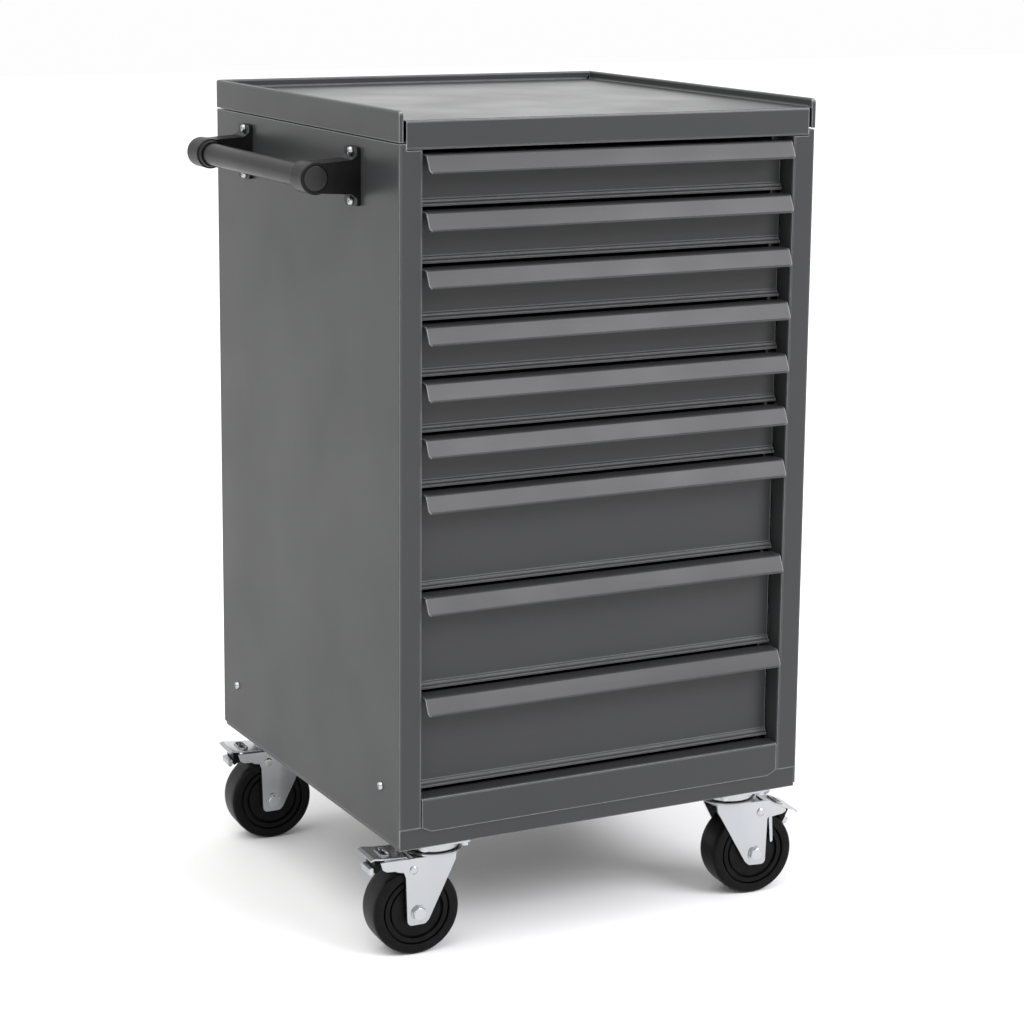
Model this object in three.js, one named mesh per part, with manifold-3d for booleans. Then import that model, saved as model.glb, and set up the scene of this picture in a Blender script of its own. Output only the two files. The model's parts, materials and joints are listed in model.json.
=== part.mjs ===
// A rolling tool chest: folded sheet-steel cabinet, nine drawers on telescopic slides, a side handle
// and four swivel casters with total brakes. Millimetres, +Z up, the front faces -Y.
// In the modelling frame X is 0 on the cabinet's centre plane, Y is 0 on the face of the front
// stiles and Z is 0 on the floor. The exported group is moved so that its box is centred.
import * as THREE from "three";
import { mergeVertices } from "three/addons/utils/BufferGeometryUtils.js";
import Module from "manifold-3d";

const wasm = await Module();
wasm.setup();

// ---- Cabinet ----
const SHEET = 1.2;
const GAP = 0.3;
const CUT_MARGIN = 5;
// How far two blocks of the same piece run into each other where they are joined.
const LAP = 1;
const BEND = 2.2;
const WIDTH = 505;
const DEPTH = 510;
const HALF = WIDTH / 2;
const BASE_BOTTOM = 133;
const SIDE_BOTTOM = 137.3;
const SIDE_TOP = 890;
const STILE_BOTTOM = 156.5;
const STILE_WIDTH = 27;
const STILE_RETURN = 25;
const STILE_NOTCH_Z = 883;
const OPENING_HALF = HALF - STILE_WIDTH;
const BACK_FLANGE = 18;
const TOP_FLANGE = { width: 14, front: 12 };
const BACK_SKIN = DEPTH - SHEET - GAP;
const PAN_HALF = HALF - SHEET - 2 * GAP;
const PAN_FRONT = SHEET + GAP;
const PAN_BACK = BACK_SKIN - SHEET - GAP;
const PAN_FLANGE_TOP = 206;
const PAN_FRONT_TOP = STILE_BOTTOM - 2 * GAP;

// ---- Plinth rail ----
const RAIL_HALF = OPENING_HALF - 2 * GAP;
const RAIL_FACE = PAN_FRONT - SHEET - GAP;
const RAIL_BOTTOM = 150.7;
const RAIL_TOP = 188.5;
const RAIL_SHELF = 27;
const RAIL_RETURN = 12;
const RAIL_CORNER = { run: 11, rise: 5.5 };

// ---- Top tray ----
const TRAY_BOTTOM = 891.5;
const TRAY_FLOOR = 914;
const TRAY_TOP = 924;
const RIM_WIDTH = 5.2;
const RIM_INNER = HALF - RIM_WIDTH;
const RIM_CORNER = 4;
const STRIP_HALF = 244.2;
const STRIP_BOTTOM = 883.6;
const STRIP_RETURN = 8;
const CORNER_RELIEF = 5;
// How far each side rim runs past its mitre into the back rim.
const MITRE_LAP = 0.05;

// ---- Drawers, counted from the top ----
const FIRST_TOP = 878.5;
const SHALLOW = 59.5;
const DEEP = 110.5;
const DRAWER_PITCHES = [SHALLOW, SHALLOW, SHALLOW, SHALLOW, SHALLOW, SHALLOW, DEEP, DEEP, DEEP];
const DRAWER_GAP = 4;
const FRONT_HALF = 222;
const PANEL_Y = 22;
const BEAD = { y: 17.5, face: 3.5, height: 7, back: 27.5 };
const LIP = { height: 18, overhang: 8, hem: 2.6, bend: 0.8 };
const BOX_HALF = 208;
const BOX_FRONT = PANEL_Y + SHEET + GAP;
const BOX_BACK = 474;
const BOX_SHEET = 0.8;
const BOX_BELOW_LIP = 8;
const BOX_ABOVE_BEAD = 6;
const SLIDE = { height: 18, lift: 12, outer: 6.5, inner: 6.9, front: 36 };

// ---- Runner columns ----
const COLUMN_INNER = 222;
const COLUMN_OUTER = 248.8;
const COLUMN_FRONT = 40;
const COLUMN_BACK = 485;
const COLUMN_BOTTOM = BASE_BOTTOM + SHEET + GAP;
const COLUMN_TOP = SIDE_TOP - SHEET - GAP;
const RUNNER_BACK = 478;

// ---- Side handle, on the left side ----
const HANDLE_X = -HALF - 51;
const HANDLE_Z = 848;
const TUBE_RADIUS = 12.5;
const TUBE_WALL = 2;
const BRACKET_FRONTS = { front: 95, rear: 397.5 };
const BRACKET = { depth: 33, height: 62, flange: 4, arm: 16, root: 18.5, boss: 17 };
const CAP = { head: 13.5, thick: 3, spigot: 14, slack: 0.4, chamfer: 1 };
const BRACKET_SCREW_LIFT = 26.5;

// ---- How finely round things are cut ----
const ROUND_SEGMENTS = 28;
const SMALL_SEGMENTS = 12;
const SCREW_SEGMENTS = 10;
const WHEEL_SEGMENTS = 40;
const BEND_STEPS = 2;

// ---- Screws ----
const SCREW = { head: 4.8, crown: 3.4, headHeight: 2.8, shank: 2.5, hole: 2.9 };
const PANEL_SCREW_Z = 194;
const PANEL_SCREW_YS = { front: 46, rear: 464 };
const PANEL_SCREW_LENGTH = 8;
const BRACKET_SCREW_LENGTH = 11;

// ---- Casters: local +X is the trailing side, the swivel axis is local Z ----
const CASTER_INSET_X = 62;
const CASTER_INSET_Y = 48;
const TRAIL = 25;
const WHEEL_RADIUS = 50;
const WHEEL_HALF = 20;
const LEG_INNER = 22.5;
const LEG_THICK = 3;
const CROWN = { bottom: 110, top: 113, lead: -22, trail: 31 };
const RACE = { lower: 30, upper: 29, split: 117.5, gap: 0.5, chamfer: 2, shoulder: 3, sink: 0.5 };
const PLATE = { length: 62, width: 82, bottom: 128.5, corner: 6 };
const KINGPIN = { radius: 5, head: 8, headTop: 109.7, headBottom: 106.7 };
const AXLE = { radius: 5, head: 7.3, headHeight: 4 };
const PIVOT = { x: 31, z: 100, radius: 3, head: 3.8, headHeight: 1.4 };
const CHEEK = { inner: 20.5, thick: 1.5 };
const PEDAL = { half: 21.5, thick: 2, bend: 2, shoeHalf: 13 };
const PEDAL_TRAVEL = THREE.MathUtils.degToRad(25);
// Half of the wheel's section as [radius, offset from the middle], from the bore to the tread.
const WHEEL_PROFILE = [
  [AXLE.radius + GAP, 18],
  [35.5, 18],
  [38, WHEEL_HALF],
  [46, WHEEL_HALF],
  [WHEEL_RADIUS, 14],
];
// Side outlines as [distance along the trailing side, height]: above the floor for the fork legs,
// from the pedal's pivot for the pedal.
const FORK_EDGE = [
  [CROWN.lead, CROWN.top], [-21, 104], [12.5, 41], [17, 37.2], [29, 36.5], [36.5, 40], [38.2, 46], [40, 92],
];
const LONG_ARM = [[42, 98], [46, 101], [62, 101.8], [67, 104.5], [69.5, CROWN.top]];
const SHORT_ARM = [[44.3, 92], [44.3, 111], [42, CROWN.top]];
const PEDAL_PLATE = [[5, 14.5], [30, 15.5], [44, 17], [48.5, 14.5]];
const PEDAL_CHEEK = [[-5, -4], [5, -5], [18, -1.5], [30, 6.5], [36, 14.8], [5, 13.5], [-5, 6]];
const PEDAL_TAIL = [[12, 3], [29.8, -28], [32.8, -26.8], [17, 3]];
const BRAKE_SHOE = [[32.5, 1], [41, -4.5], [44.3, -5.5], [47, -2], [45, 15.5], [32.5, 14.8]];
const CASTERS = {
  front_left: { x: -1, y: 1, turn: 176.4, pressed: false },
  front_right: { x: 1, y: 1, turn: -5.4, pressed: true },
  rear_left: { x: -1, y: -1, turn: 175.7, pressed: false },
  rear_right: { x: 1, y: -1, turn: 3.5, pressed: false },
};

const STEEL = { color: 0x5c5d60, roughness: 0.5, metalness: 0.25 };
const ZINC = { color: 0xc9cdd0, roughness: 0.35, metalness: 0.9 };
const SLIDE_STEEL = { color: 0xb4b8ba, roughness: 0.4, metalness: 0.85 };
const RUBBER = { color: 0x1c1c1d, roughness: 0.75, metalness: 0 };
const PLASTIC = { color: 0x151516, roughness: 0.45, metalness: 0 };

// ---- Solids ----
function toSolid(geometry) {
  geometry.deleteAttribute("normal");
  geometry.deleteAttribute("uv");
  const merged = mergeVertices(geometry, 1e-3);
  return new wasm.Manifold(
    new wasm.Mesh({
      numProp: 3,
      vertProperties: merged.attributes.position.array,
      triVerts: new Uint32Array(merged.index.array),
    }),
  );
}

function toMesh(name, solid, look) {
  const { vertProperties, triVerts } = solid.getMesh();
  const geometry = new THREE.BufferGeometry();
  geometry.setAttribute("position", new THREE.BufferAttribute(vertProperties, 3));
  geometry.setIndex(new THREE.BufferAttribute(triVerts, 1));
  geometry.computeVertexNormals();
  const mesh = new THREE.Mesh(geometry, new THREE.MeshStandardMaterial({ ...look, flatShading: true }));
  mesh.name = name;
  return mesh;
}

function union(...solids) {
  return solids.reduce((sum, solid) => sum.add(solid));
}

function block([x0, x1], [y0, y1], [z0, z1]) {
  const geometry = new THREE.BoxGeometry(x1 - x0, y1 - y0, z1 - z0);
  geometry.translate((x0 + x1) / 2, (y0 + y1) / 2, (z0 + z1) / 2);
  return toSolid(geometry);
}

// The outline's two coordinates and the run direction, for each axis it can run along.
const FRAMES = {
  x: [new THREE.Vector3(0, 1, 0), new THREE.Vector3(0, 0, 1), new THREE.Vector3(1, 0, 0)],
  y: [new THREE.Vector3(1, 0, 0), new THREE.Vector3(0, 0, 1), new THREE.Vector3(0, -1, 0)],
  z: [new THREE.Vector3(1, 0, 0), new THREE.Vector3(0, 1, 0), new THREE.Vector3(0, 0, 1)],
};

function prism(axis, outline, from, to) {
  const shape = new THREE.Shape(outline.map(([u, v]) => new THREE.Vector2(u, v)));
  const geometry = new THREE.ExtrudeGeometry(shape, { depth: to - from, bevelEnabled: false });
  const [u, v, w] = FRAMES[axis];
  const start = axis === "y" ? -to : from;
  geometry.applyMatrix4(new THREE.Matrix4().makeBasis(u, v, w).setPosition(w.clone().multiplyScalar(start)));
  return toSolid(geometry);
}

// A turned piece: profile points are [radius, height] from the bottom up, along the given axis.
function turned(axis, profile, centre, segments = ROUND_SEGMENTS) {
  const points = profile.map(([r, h]) => new THREE.Vector2(r, h));
  const geometry = new THREE.LatheGeometry(points, segments);
  if (axis === "x") geometry.rotateZ(-Math.PI / 2);
  if (axis === "z") geometry.rotateX(Math.PI / 2);
  geometry.translate(...centre);
  return toSolid(geometry);
}

function rod(axis, radius, from, to, centre, segments = ROUND_SEGMENTS) {
  return turned(axis, [[0, from], [radius, from], [radius, to], [0, to]], centre, segments);
}

// Rounds the inner corners of a path with short arcs.
function roundPath(path, radius, steps = BEND_STEPS) {
  const points = path.map(([x, y]) => new THREE.Vector2(x, y));
  const out = [path[0]];
  for (let i = 1; i < points.length - 1; i += 1) {
    const corner = points[i];
    const into = points[i - 1].clone().sub(corner).normalize();
    const away = points[i + 1].clone().sub(corner).normalize();
    const half = Math.acos(THREE.MathUtils.clamp(into.dot(away), -1, 1)) / 2;
    const reach = radius / Math.tan(half);
    const middle = into.clone().add(away).normalize().multiplyScalar(radius / Math.sin(half)).add(corner);
    const start = corner.clone().addScaledVector(into, reach).sub(middle);
    const end = corner.clone().addScaledVector(away, reach).sub(middle);
    const sweep = Math.atan2(start.cross(end), start.dot(end));
    for (let s = 0; s <= steps; s += 1) {
      const spoke = start.clone().rotateAround(new THREE.Vector2(), (sweep * s) / steps).add(middle);
      out.push([spoke.x, spoke.y]);
    }
  }
  out.push(path[path.length - 1]);
  return out;
}

// The closed outline of a bent sheet: the path is one surface, and the sheet lies to its right for
// side 1 or to its left for side -1.
function bentSheet(path, side, thickness = SHEET, radius = BEND) {
  const face = roundPath(path, radius).map(([x, y]) => new THREE.Vector2(x, y));
  const normals = face.slice(1).map((p, i) => {
    const d = p.clone().sub(face[i]).normalize();
    return new THREE.Vector2(d.y, -d.x).multiplyScalar(side);
  });
  const back = face.map((p, i) => {
    const a = normals[Math.max(i - 1, 0)];
    const b = normals[Math.min(i, normals.length - 1)];
    const mitre = a.clone().add(b).normalize();
    return p.clone().addScaledVector(mitre, thickness / mitre.dot(b));
  });
  return [...face, ...back.reverse()].map((p) => [p.x, p.y]);
}

function mirrored(solid) {
  return solid.mirror([1, 0, 0]);
}

// ---- Cabinet shell ----
function leftSidePanel() {
  const plan = [
    [-OPENING_HALF, STILE_RETURN],
    [-OPENING_HALF, 0],
    [-HALF, 0],
    [-HALF, BACK_SKIN],
    [-HALF + BACK_FLANGE, BACK_SKIN],
  ];
  const inside = -HALF + SHEET;
  const stileEnd = -OPENING_HALF + CUT_MARGIN;
  const stileDepth = [-CUT_MARGIN, STILE_RETURN + CUT_MARGIN];
  const belowStile = block([inside, stileEnd], stileDepth, [0, STILE_BOTTOM]);
  const notch = block([-STRIP_HALF, stileEnd], stileDepth, [STILE_NOTCH_Z, SIDE_TOP + CUT_MARGIN]);
  const topFlange = block(
    [-HALF + SHEET / 2, -HALF + TOP_FLANGE.width],
    [TOP_FLANGE.front, BACK_SKIN - SHEET / 2],
    [SIDE_TOP - SHEET, SIDE_TOP],
  );
  const skin = prism("z", bentSheet(plan, 1), SIDE_BOTTOM, SIDE_TOP);
  return skin.subtract(union(belowStile, notch)).add(topFlange);
}

function screwHole(y, z) {
  return rod("x", SCREW.hole, -HALF - CUT_MARGIN, -PAN_HALF + 2 * SHEET, [0, y, z], SCREW_SEGMENTS);
}

function panelScrewHoles() {
  return union(...Object.values(PANEL_SCREW_YS).map((y) => screwHole(y, PANEL_SCREW_Z)));
}

function bracketScrewSpots() {
  const spots = {};
  for (const [end, front] of Object.entries(BRACKET_FRONTS)) {
    spots[`${end}_upper`] = [front + BRACKET.depth / 2, HANDLE_Z + BRACKET_SCREW_LIFT];
    spots[`${end}_lower`] = [front + BRACKET.depth / 2, HANDLE_Z - BRACKET_SCREW_LIFT];
  }
  return spots;
}

function backPanel() {
  return block([-HALF + GAP, HALF - GAP], [DEPTH - SHEET, DEPTH], [SIDE_BOTTOM, SIDE_TOP]);
}

function basePan() {
  const outer = block([-PAN_HALF, PAN_HALF], [PAN_FRONT, PAN_BACK], [BASE_BOTTOM, PAN_FLANGE_TOP]);
  const inner = block(
    [-PAN_HALF + SHEET, PAN_HALF - SHEET],
    [PAN_FRONT + SHEET, PAN_BACK - SHEET],
    [BASE_BOTTOM + SHEET, PAN_FLANGE_TOP + CUT_MARGIN],
  );
  const above = [PAN_FRONT_TOP, PAN_FLANGE_TOP + CUT_MARGIN];
  const aboveFront = block([-HALF, HALF], [0, PAN_FRONT + 2 * SHEET], above);
  const aboveBack = block([-HALF, HALF], [PAN_BACK - 2 * SHEET, DEPTH], above);
  const holes = panelScrewHoles();
  return outer.subtract(union(inner, aboveFront, aboveBack, holes, mirrored(holes)));
}

function plinthRail() {
  const profile = [
    [RAIL_FACE, RAIL_BOTTOM],
    [RAIL_FACE, RAIL_TOP],
    [RAIL_SHELF, RAIL_TOP],
    [RAIL_SHELF, RAIL_TOP - RAIL_RETURN],
  ];
  const corner = [
    [-RAIL_HALF - CUT_MARGIN, RAIL_BOTTOM - CUT_MARGIN],
    [-RAIL_HALF + RAIL_CORNER.run, RAIL_BOTTOM - CUT_MARGIN],
    [-RAIL_HALF + RAIL_CORNER.run, RAIL_BOTTOM],
    [-RAIL_HALF, RAIL_BOTTOM + RAIL_CORNER.rise],
    [-RAIL_HALF - CUT_MARGIN, RAIL_BOTTOM + RAIL_CORNER.rise],
  ];
  const cut = prism("y", corner, -CUT_MARGIN, CUT_MARGIN);
  return prism("x", bentSheet(profile, 1), -RAIL_HALF, RAIL_HALF).subtract(union(cut, mirrored(cut)));
}

// One rim in section, from the tray floor up, over and down the outside.
function rimProfile(outside, floorEnd) {
  return [
    [floorEnd, TRAY_FLOOR],
    [outside + RIM_WIDTH, TRAY_FLOOR],
    [outside + RIM_WIDTH, TRAY_TOP],
    [outside, TRAY_TOP],
    [outside, TRAY_BOTTOM],
  ];
}

function topTray() {
  const inset = 4 * RIM_WIDTH;
  const [leftEdge, backEdge] = [-HALF + inset, DEPTH - inset];
  const [beyondSide, beyondBack] = [-HALF - LAP, DEPTH + LAP];
  const sideMitre = [
    [beyondSide, -LAP],
    [leftEdge, -LAP],
    [leftEdge, backEdge + MITRE_LAP],
    [beyondSide, beyondBack + MITRE_LAP],
  ];
  const backMitre = [
    [beyondSide, beyondBack],
    [leftEdge, backEdge],
    [-leftEdge, backEdge],
    [-beyondSide, beyondBack],
  ];
  const side = prism("y", bentSheet(rimProfile(-HALF, leftEdge + LAP), -1), 0, DEPTH)
    .intersect(prism("z", sideMitre, BASE_BOTTOM, TRAY_TOP + CUT_MARGIN));
  const backProfile = rimProfile(-DEPTH, -backEdge + LAP).map(([y, z]) => [-y, z]);
  const back = prism("x", bentSheet(backProfile, 1), beyondSide, -beyondSide)
    .intersect(prism("z", backMitre, BASE_BOTTOM, TRAY_TOP + CUT_MARGIN));
  const floor = block(
    [leftEdge - LAP, -leftEdge + LAP],
    [RIM_CORNER, backEdge + LAP],
    [TRAY_FLOOR - SHEET, TRAY_FLOOR],
  );
  const noseCut = block(
    [-RIM_INNER, RIM_INNER],
    [-CUT_MARGIN, 2 * RIM_CORNER],
    [TRAY_FLOOR - CUT_MARGIN, TRAY_FLOOR + CUT_MARGIN],
  );
  const strip = [
    [4 * RIM_CORNER, TRAY_FLOOR],
    [0, TRAY_FLOOR],
    [0, STRIP_BOTTOM],
    [STRIP_RETURN, STRIP_BOTTOM],
  ];
  const nose = [[2 * RIM_CORNER, TRAY_TOP], [0, TRAY_TOP], [0, TRAY_TOP - 2 * RIM_CORNER]];
  const arc = roundPath(nose, RIM_CORNER);
  const outside = [[-CUT_MARGIN, TRAY_TOP + CUT_MARGIN], ...arc, [-CUT_MARGIN, arc[arc.length - 1][1]]];
  const roundOff = prism("x", outside, -HALF - CUT_MARGIN, HALF + CUT_MARGIN);
  const endTab = block(
    [-HALF + SHEET / 2, -RIM_INNER - SHEET / 2],
    [0, SHEET],
    [TRAY_BOTTOM, TRAY_TOP - SHEET / 2],
  );
  const [reliefEdge, reliefFloor] = [-RIM_INNER + GAP, TRAY_FLOOR + GAP];
  const relief = prism(
    "y",
    [
      [reliefEdge, reliefFloor],
      [reliefEdge + CORNER_RELIEF, reliefFloor],
      [reliefEdge, TRAY_TOP - 2 * SHEET],
    ],
    DEPTH - RIM_WIDTH - CUT_MARGIN,
    DEPTH - RIM_WIDTH + SHEET + GAP,
  );
  return union(side, mirrored(side), back, floor, endTab, mirrored(endTab))
    .subtract(union(noseCut, roundOff, relief, mirrored(relief)))
    .add(prism("x", bentSheet(strip, -1), -STRIP_HALF, STRIP_HALF));
}

// ---- Drawers and their slides ----
const DRAWERS = DRAWER_PITCHES.map((pitch, i) => {
  const top = FIRST_TOP - DRAWER_PITCHES.slice(0, i).reduce((sum, p) => sum + p, 0);
  const bottom = top - pitch + DRAWER_GAP;
  return { number: i + 1, top, bottom, floor: bottom + BOX_ABOVE_BEAD, rim: top - BOX_BELOW_LIP };
});

function slideBand(drawer) {
  return [drawer.floor + SLIDE.lift, drawer.floor + SLIDE.lift + SLIDE.height];
}

function drawerFront({ top, bottom }) {
  const section = [
    [BEAD.back, bottom],
    [BEAD.y, bottom],
    [BEAD.y, bottom + BEAD.face],
    [PANEL_Y, bottom + BEAD.height],
    [PANEL_Y, top - SHEET],
    [0, top - SHEET],
    [-LIP.overhang, top - LIP.height],
    [-LIP.overhang + LIP.hem, top - LIP.height],
  ];
  return prism("x", bentSheet(section, 1, SHEET, LIP.bend), -FRONT_HALF, FRONT_HALF);
}

function drawerBox(drawer) {
  const shell = block([-BOX_HALF, BOX_HALF], [BOX_FRONT, BOX_BACK], [drawer.floor, drawer.rim]);
  const hollow = block(
    [-BOX_HALF + BOX_SHEET, BOX_HALF - BOX_SHEET],
    [BOX_FRONT + BOX_SHEET, BOX_BACK - BOX_SHEET],
    [drawer.floor + BOX_SHEET, drawer.rim + CUT_MARGIN],
  );
  const member = block(
    [-BOX_HALF - SLIDE.inner, -BOX_HALF + BOX_SHEET / 2],
    [SLIDE.front, BOX_BACK],
    slideBand(drawer),
  );
  return shell.subtract(hollow).add(member).add(mirrored(member));
}

function leftRunnerColumn() {
  const plan = [
    [-COLUMN_OUTER, COLUMN_FRONT],
    [-COLUMN_INNER, COLUMN_FRONT],
    [-COLUMN_INNER, COLUMN_BACK],
    [-COLUMN_OUTER, COLUMN_BACK],
  ];
  const runners = DRAWERS.map((drawer) =>
    block(
      [-COLUMN_INNER - SHEET / 2, -COLUMN_INNER + SLIDE.outer],
      [COLUMN_FRONT, RUNNER_BACK],
      slideBand(drawer),
    ),
  );
  return union(prism("z", bentSheet(plan, -1), COLUMN_BOTTOM, COLUMN_TOP), ...runners);
}

// ---- Handle ----
function handleTube() {
  const from = BRACKET_FRONTS.front + CAP.thick + 2 * CAP.slack;
  const to = BRACKET_FRONTS.rear + BRACKET.depth - CAP.thick - 2 * CAP.slack;
  const axis = [HANDLE_X, 0, HANDLE_Z];
  const bore = TUBE_RADIUS - TUBE_WALL;
  return turned("y", [[bore, from], [TUBE_RADIUS, from], [TUBE_RADIUS, to], [bore, to], [bore, from]], axis);
}

function handleBracket(front, outerEnd) {
  const back = front + BRACKET.depth;
  const panel = -HALF - GAP;
  const flange = block(
    [panel - BRACKET.flange, panel],
    [front, back],
    [HANDLE_Z - BRACKET.height / 2, HANDLE_Z + BRACKET.height / 2],
  );
  const arm = [
    [HANDLE_X, HANDLE_Z - BRACKET.arm],
    [panel - BRACKET.flange * 2, HANDLE_Z - BRACKET.root],
    [panel - BRACKET.flange / 2, HANDLE_Z - BRACKET.root - BRACKET.flange],
    [panel - BRACKET.flange / 2, HANDLE_Z + BRACKET.root + BRACKET.flange],
    [panel - BRACKET.flange * 2, HANDLE_Z + BRACKET.root],
    [HANDLE_X, HANDLE_Z + BRACKET.arm],
  ];
  const axis = [HANDLE_X, 0, HANDLE_Z];
  const boss = rod("y", BRACKET.boss, front, back, axis);
  const bore = rod("y", TUBE_RADIUS + GAP, front - CUT_MARGIN, back + CUT_MARGIN, axis);
  const seat = CAP.thick + CAP.slack;
  const counterbore = rod("y", CAP.head + CAP.slack, outerEnd - seat, outerEnd + seat, axis);
  const holes = [-1, 1].map((side) => screwHole((front + back) / 2, HANDLE_Z + side * BRACKET_SCREW_LIFT));
  return union(flange, prism("y", arm, front, back), boss).subtract(union(bore, counterbore, ...holes));
}

function handleCap(outerEnd, inwards) {
  const head = CAP.head;
  const spigot = TUBE_RADIUS - TUBE_WALL - GAP;
  const profile = [
    [0, 0],
    [head - CAP.chamfer, 0],
    [head, CAP.chamfer],
    [head, CAP.thick],
    [spigot, CAP.thick],
    [spigot, CAP.thick + CAP.spigot],
    [0, CAP.thick + CAP.spigot],
  ];
  const placed = inwards > 0 ? profile : profile.map(([r, h]) => [r, -h]).reverse();
  return turned("y", placed, [HANDLE_X, outerEnd, HANDLE_Z]);
}

// ---- Screws: the seat is the face under the head, on the left side of the cabinet ----
function sideScrew(seat, y, z, length) {
  const profile = [
    [0, -SCREW.headHeight],
    [SCREW.crown, -SCREW.headHeight],
    [SCREW.head, 0],
    [SCREW.shank, 0],
    [SCREW.shank, length],
    [0, length],
  ];
  return turned("x", profile, [seat, y, z], SCREW_SEGMENTS);
}

// ---- Casters ----
function casterPlate() {
  const top = BASE_BOTTOM - GAP;
  const [l, w, c] = [PLATE.length / 2, PLATE.width / 2, PLATE.corner];
  const outline = [
    [-l, -w + c], [-l + c, -w], [l - c, -w], [l, -w + c],
    [l, w - c], [l - c, w], [-l + c, w], [-l, w - c],
  ];
  const race = turned(
    "z",
    [
      [0, RACE.split + RACE.gap],
      [RACE.upper - RACE.chamfer, RACE.split + RACE.gap],
      [RACE.upper, RACE.split + RACE.shoulder],
      [RACE.upper, PLATE.bottom - RACE.shoulder],
      [RACE.upper - RACE.shoulder, PLATE.bottom + RACE.sink],
      [0, PLATE.bottom + RACE.sink],
    ],
    [0, 0, 0],
  );
  const centre = [0, 0, 0];
  const pin = rod("z", KINGPIN.radius, KINGPIN.headTop - LAP, RACE.split + 2 * LAP, centre, SMALL_SEGMENTS);
  const head = rod("z", KINGPIN.head, KINGPIN.headBottom, KINGPIN.headTop, centre, SMALL_SEGMENTS);
  return union(prism("z", outline, PLATE.bottom, top), race, pin, head);
}

// The leg with the long arm stands at local +Y and the short one at -Y.
function forkLegs() {
  const outer = LEG_INNER + LEG_THICK;
  return union(
    prism("y", [...FORK_EDGE, ...LONG_ARM], LEG_INNER, outer),
    prism("y", [...FORK_EDGE, ...SHORT_ARM], -outer, -LEG_INNER),
  );
}

function fork() {
  const outer = LEG_INNER + LEG_THICK;
  const crown = block([CROWN.lead, CROWN.trail], [-outer, outer], [CROWN.bottom, CROWN.top]);
  const race = turned(
    "z",
    [
      [0, CROWN.top - LAP],
      [RACE.lower, CROWN.top - LAP],
      [RACE.lower, RACE.split - RACE.chamfer],
      [RACE.lower - RACE.chamfer, RACE.split],
      [0, RACE.split],
    ],
    [0, 0, 0],
  );
  const pinHole = rod("z", KINGPIN.radius + GAP, 0, 2 * RACE.split, [0, 0, 0], SMALL_SEGMENTS);
  const [axle, pivot] = [[TRAIL, 0, WHEEL_RADIUS], [PIVOT.x, 0, PIVOT.z]];
  const axleHole = rod("y", AXLE.radius + GAP, -2 * outer, 2 * outer, axle, SMALL_SEGMENTS);
  const pivotHole = rod("y", PIVOT.radius + GAP, -2 * outer, 2 * outer, pivot, SMALL_SEGMENTS);
  return union(forkLegs(), crown, race).subtract(union(pinHole, axleHole, pivotHole));
}

function wheel() {
  const other = WHEEL_PROFILE.map(([r, h]) => [r, -h]);
  const profile = [...other, ...[...WHEEL_PROFILE].reverse()];
  return turned("y", [...profile, profile[0]], [TRAIL, 0, WHEEL_RADIUS], WHEEL_SEGMENTS);
}

function axleBolt() {
  const seat = LEG_INNER + LEG_THICK + GAP;
  const end = seat + AXLE.headHeight;
  const profile = [
    [0, -end],
    [AXLE.head, -end],
    [AXLE.head, -seat],
    [AXLE.radius, -seat],
    [AXLE.radius, seat],
    [AXLE.head, seat],
    [AXLE.head, end],
    [0, end],
  ];
  return turned("y", profile, [TRAIL, 0, WHEEL_RADIUS], SMALL_SEGMENTS);
}

// Built about the pivot, released: the plate stands over the wheel and the shoe is clear of the tyre.
function brakePedal() {
  const [c0, c1] = [CHEEK.inner, CHEEK.inner + CHEEK.thick];
  const stubEnd = LEG_INNER + LEG_THICK + GAP;
  const sides = [-1, 1].map((side) => {
    const span = (a, b) => (side > 0 ? [a, b] : [-b, -a]);
    return union(
      prism("y", PEDAL_CHEEK, ...span(c0, c1)),
      rod("y", PIVOT.radius, ...span(c0 + GAP, stubEnd + GAP), [0, 0, 0], SMALL_SEGMENTS),
      rod("y", PIVOT.head, ...span(stubEnd, stubEnd + PIVOT.headHeight), [0, 0, 0], SMALL_SEGMENTS),
    );
  });
  const tail = prism("y", PEDAL_TAIL, -c1, -c0);
  const top = prism("y", bentSheet(PEDAL_PLATE, 1, PEDAL.thick, PEDAL.bend), -PEDAL.half, PEDAL.half);
  return union(top, prism("y", BRAKE_SHOE, -PEDAL.shoeHalf, PEDAL.shoeHalf), tail, ...sides);
}

function caster(name, { x, y, turn, pressed }) {
  const group = new THREE.Group();
  group.position.set(
    x * (HALF - CASTER_INSET_X),
    y > 0 ? CASTER_INSET_Y : DEPTH - CASTER_INSET_Y,
    0,
  );
  const swivel = new THREE.Group();
  swivel.rotation.z = THREE.MathUtils.degToRad(turn);
  const pedal = toMesh(`caster_${name}_brake_pedal`, brakePedal(), ZINC);
  pedal.position.set(PIVOT.x, 0, PIVOT.z);
  pedal.rotation.y = pressed ? PEDAL_TRAVEL : 0;
  swivel.add(
    toMesh(`caster_${name}_fork`, fork(), ZINC),
    toMesh(`caster_${name}_wheel`, wheel(), RUBBER),
    toMesh(`caster_${name}_axle_bolt`, axleBolt(), ZINC),
    pedal,
  );
  group.add(toMesh(`caster_${name}_top_plate`, casterPlate(), ZINC), swivel);
  return group;
}

// ---- Assembly ----
const chest = new THREE.Group();
chest.name = "rolling_tool_chest";

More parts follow.
